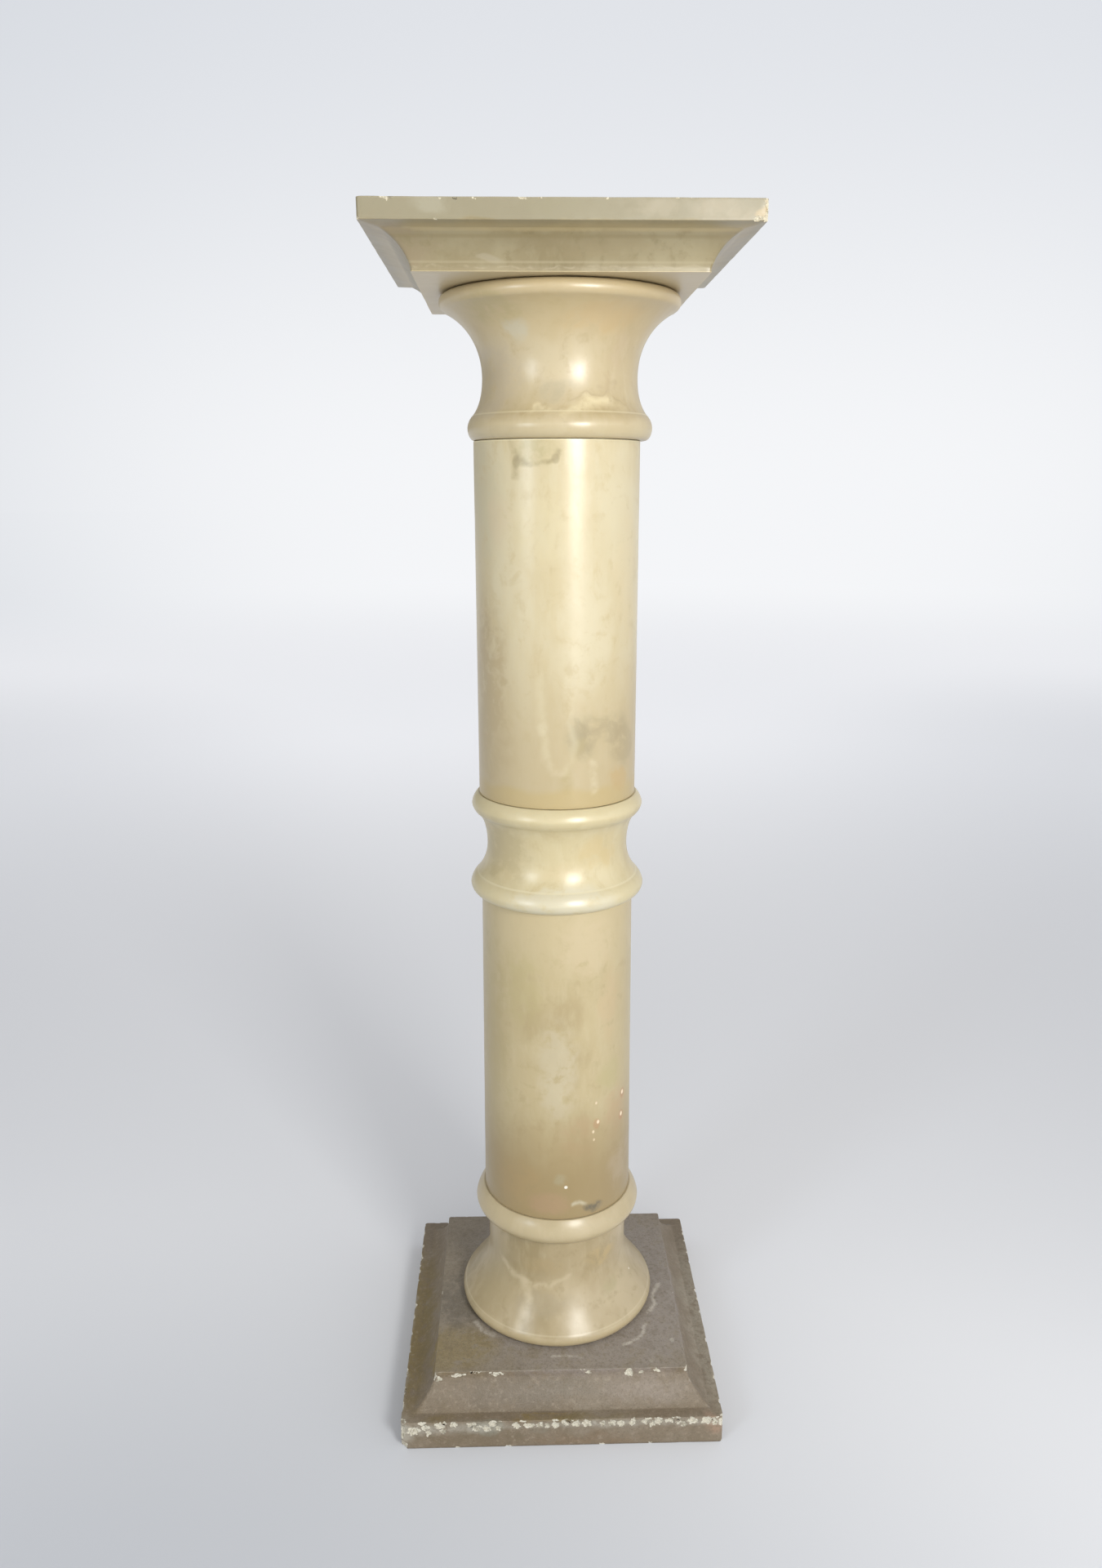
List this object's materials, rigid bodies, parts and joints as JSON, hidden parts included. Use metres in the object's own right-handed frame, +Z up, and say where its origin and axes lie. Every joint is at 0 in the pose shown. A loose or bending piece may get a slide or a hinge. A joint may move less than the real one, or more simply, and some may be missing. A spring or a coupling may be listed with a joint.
{
  "type": "column pedestal",
  "caption": "Turned column pedestal of polished onyx: square moulded base and table slabs, bell foot and capital, plain round shaft with a waisted collar.",
  "frame": {"origin": "centre of the base slab's underside, where the pedestal stands on the floor", "axes": "+Z up along the column, X and Y square to the slabs' faces, -Y towards the viewer of the picture"},
  "size_m": [0.2818, 0.2818, 1],
  "materials": {
    "base_slab_stone": "worn polish, grey-brown, bruised white along its edges",
    "foot_stone": "polished cream-olive onyx with thin pale veins",
    "lower_drum_stone": "polished beige onyx, darker and browner downwards",
    "collar_stone": "polished greenish cream onyx",
    "upper_drum_stone": "polished pale cream onyx with grey veins",
    "capital_stone": "polished honey onyx with pale clouds",
    "top_slab_stone": "satin olive-khaki onyx"
  },
  "bodies": {
    "root": {"base_slab": "base_slab_stone", "foot": "foot_stone", "lower_drum": "lower_drum_stone", "collar": "collar_stone", "upper_drum": "upper_drum_stone", "capital": "capital_stone", "top_slab": "top_slab_stone"}
  },
  "joints": []
}
